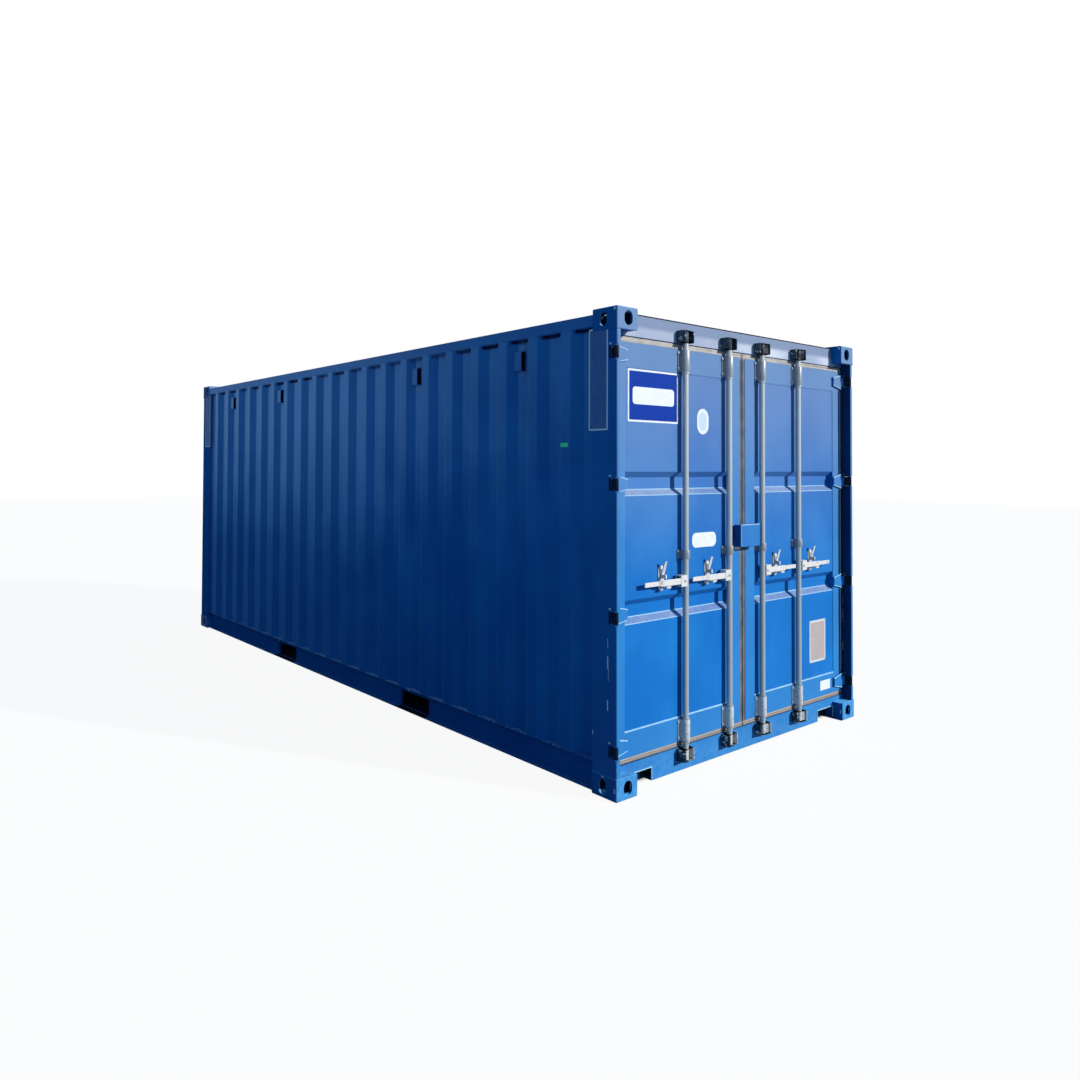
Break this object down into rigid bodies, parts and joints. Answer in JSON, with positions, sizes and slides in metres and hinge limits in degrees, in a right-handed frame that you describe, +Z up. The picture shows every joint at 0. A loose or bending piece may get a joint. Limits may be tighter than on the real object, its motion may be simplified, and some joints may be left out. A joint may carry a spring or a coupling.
{
  "type": "shipping container",
  "caption": "Steel freight container with corrugated walls, a ribbed roof, hollow corner castings, fork pockets and two hinged end doors with cam locking bars.",
  "frame": {"origin": "centre of the footprint at the underside of the bottom corner castings", "axes": "+Z up, +Y along the length towards the blind end, so the doors face -Y, +X to the right of someone who faces the doors"},
  "size_m": [2.438, 6.058, 2.591],
  "materials": {
    "frame_paint": "satin paint over welded steel",
    "sheet_paint": "satin paint over corrugated steel",
    "casting_paint": "paint over cast steel",
    "hardware_zinc": "hot dip galvanised",
    "seal_rubber": "dusty rubber",
    "vent_plastic": "painted over plastic",
    "floor_plywood": "sealed plywood"
  },
  "bodies": {
    "box": {"bottom_corner_castings": "casting_paint", "bottom_side_rail_left": "frame_paint", "bottom_side_rail_right": "frame_paint", "cam_keepers": "hardware_zinc", "cross_members": "frame_paint", "door_header": "frame_paint", "door_sill": "frame_paint", "floor_deck": "floor_plywood", "fork_pockets": "frame_paint", "front_corner_post_left": "frame_paint", "front_corner_post_right": "frame_paint", "front_header": "frame_paint", "front_sill": "frame_paint", "front_wall": "sheet_paint", "rear_corner_post_left": "frame_paint", "rear_corner_post_right": "frame_paint", "roof_sheet": "sheet_paint", "side_vents": "vent_plastic", "side_wall_left": "sheet_paint", "side_wall_right": "sheet_paint", "top_corner_castings": "casting_paint", "top_side_rail_left": "frame_paint", "top_side_rail_right": "frame_paint"},
    "left_door": {"door_frame_left": "frame_paint", "door_hinges_left": "frame_paint", "door_seal_left": "seal_rubber", "door_sheet_left": "sheet_paint", "handle_retainers_left": "hardware_zinc", "rod_brackets_left": "hardware_zinc", "lock_tongue": "hardware_zinc"},
    "right_door": {"door_frame_right": "frame_paint", "door_hinges_right": "frame_paint", "door_seal_right": "seal_rubber", "door_sheet_right": "sheet_paint", "handle_retainers_right": "hardware_zinc", "rod_brackets_right": "hardware_zinc", "lock_box": "sheet_paint"},
    "left_inner_rod": {"lock_rod_left_inner": "hardware_zinc", "lock_handle_left_inner": "hardware_zinc"},
    "left_outer_rod": {"lock_rod_left_outer": "hardware_zinc", "lock_handle_left_outer": "hardware_zinc"},
    "right_inner_rod": {"lock_rod_right_inner": "hardware_zinc", "lock_handle_right_inner": "hardware_zinc"},
    "right_outer_rod": {"lock_rod_right_outer": "hardware_zinc", "lock_handle_right_outer": "hardware_zinc"}
  },
  "joints": [
    {"name": "left_door_hinge", "type": "hinge", "parent": "box", "child": "left_door", "pos_m": [-1.202, -3.009, 0.25], "axis": [0, 0, -1], "range_deg": [0, 265]},
    {"name": "right_door_hinge", "type": "hinge", "parent": "box", "child": "right_door", "pos_m": [1.202, -3.009, 0.25], "axis": [0, 0, 1], "range_deg": [0, 265]},
    {"name": "left_inner_rod_turn", "type": "hinge", "parent": "left_door", "child": "left_inner_rod", "pos_m": [-0.173, -2.98, 1.098], "axis": [0, 0, -1], "range_deg": [-110, 0]},
    {"name": "left_outer_rod_turn", "type": "hinge", "parent": "left_door", "child": "left_outer_rod", "pos_m": [-0.59, -2.98, 1.098], "axis": [0, 0, -1], "range_deg": [-110, 0]},
    {"name": "right_inner_rod_turn", "type": "hinge", "parent": "right_door", "child": "right_inner_rod", "pos_m": [0.173, -2.98, 1.098], "axis": [0, 0, 1], "range_deg": [-110, 0]},
    {"name": "right_outer_rod_turn", "type": "hinge", "parent": "right_door", "child": "right_outer_rod", "pos_m": [0.59, -2.98, 1.098], "axis": [0, 0, 1], "range_deg": [-110, 0]}
  ]
}
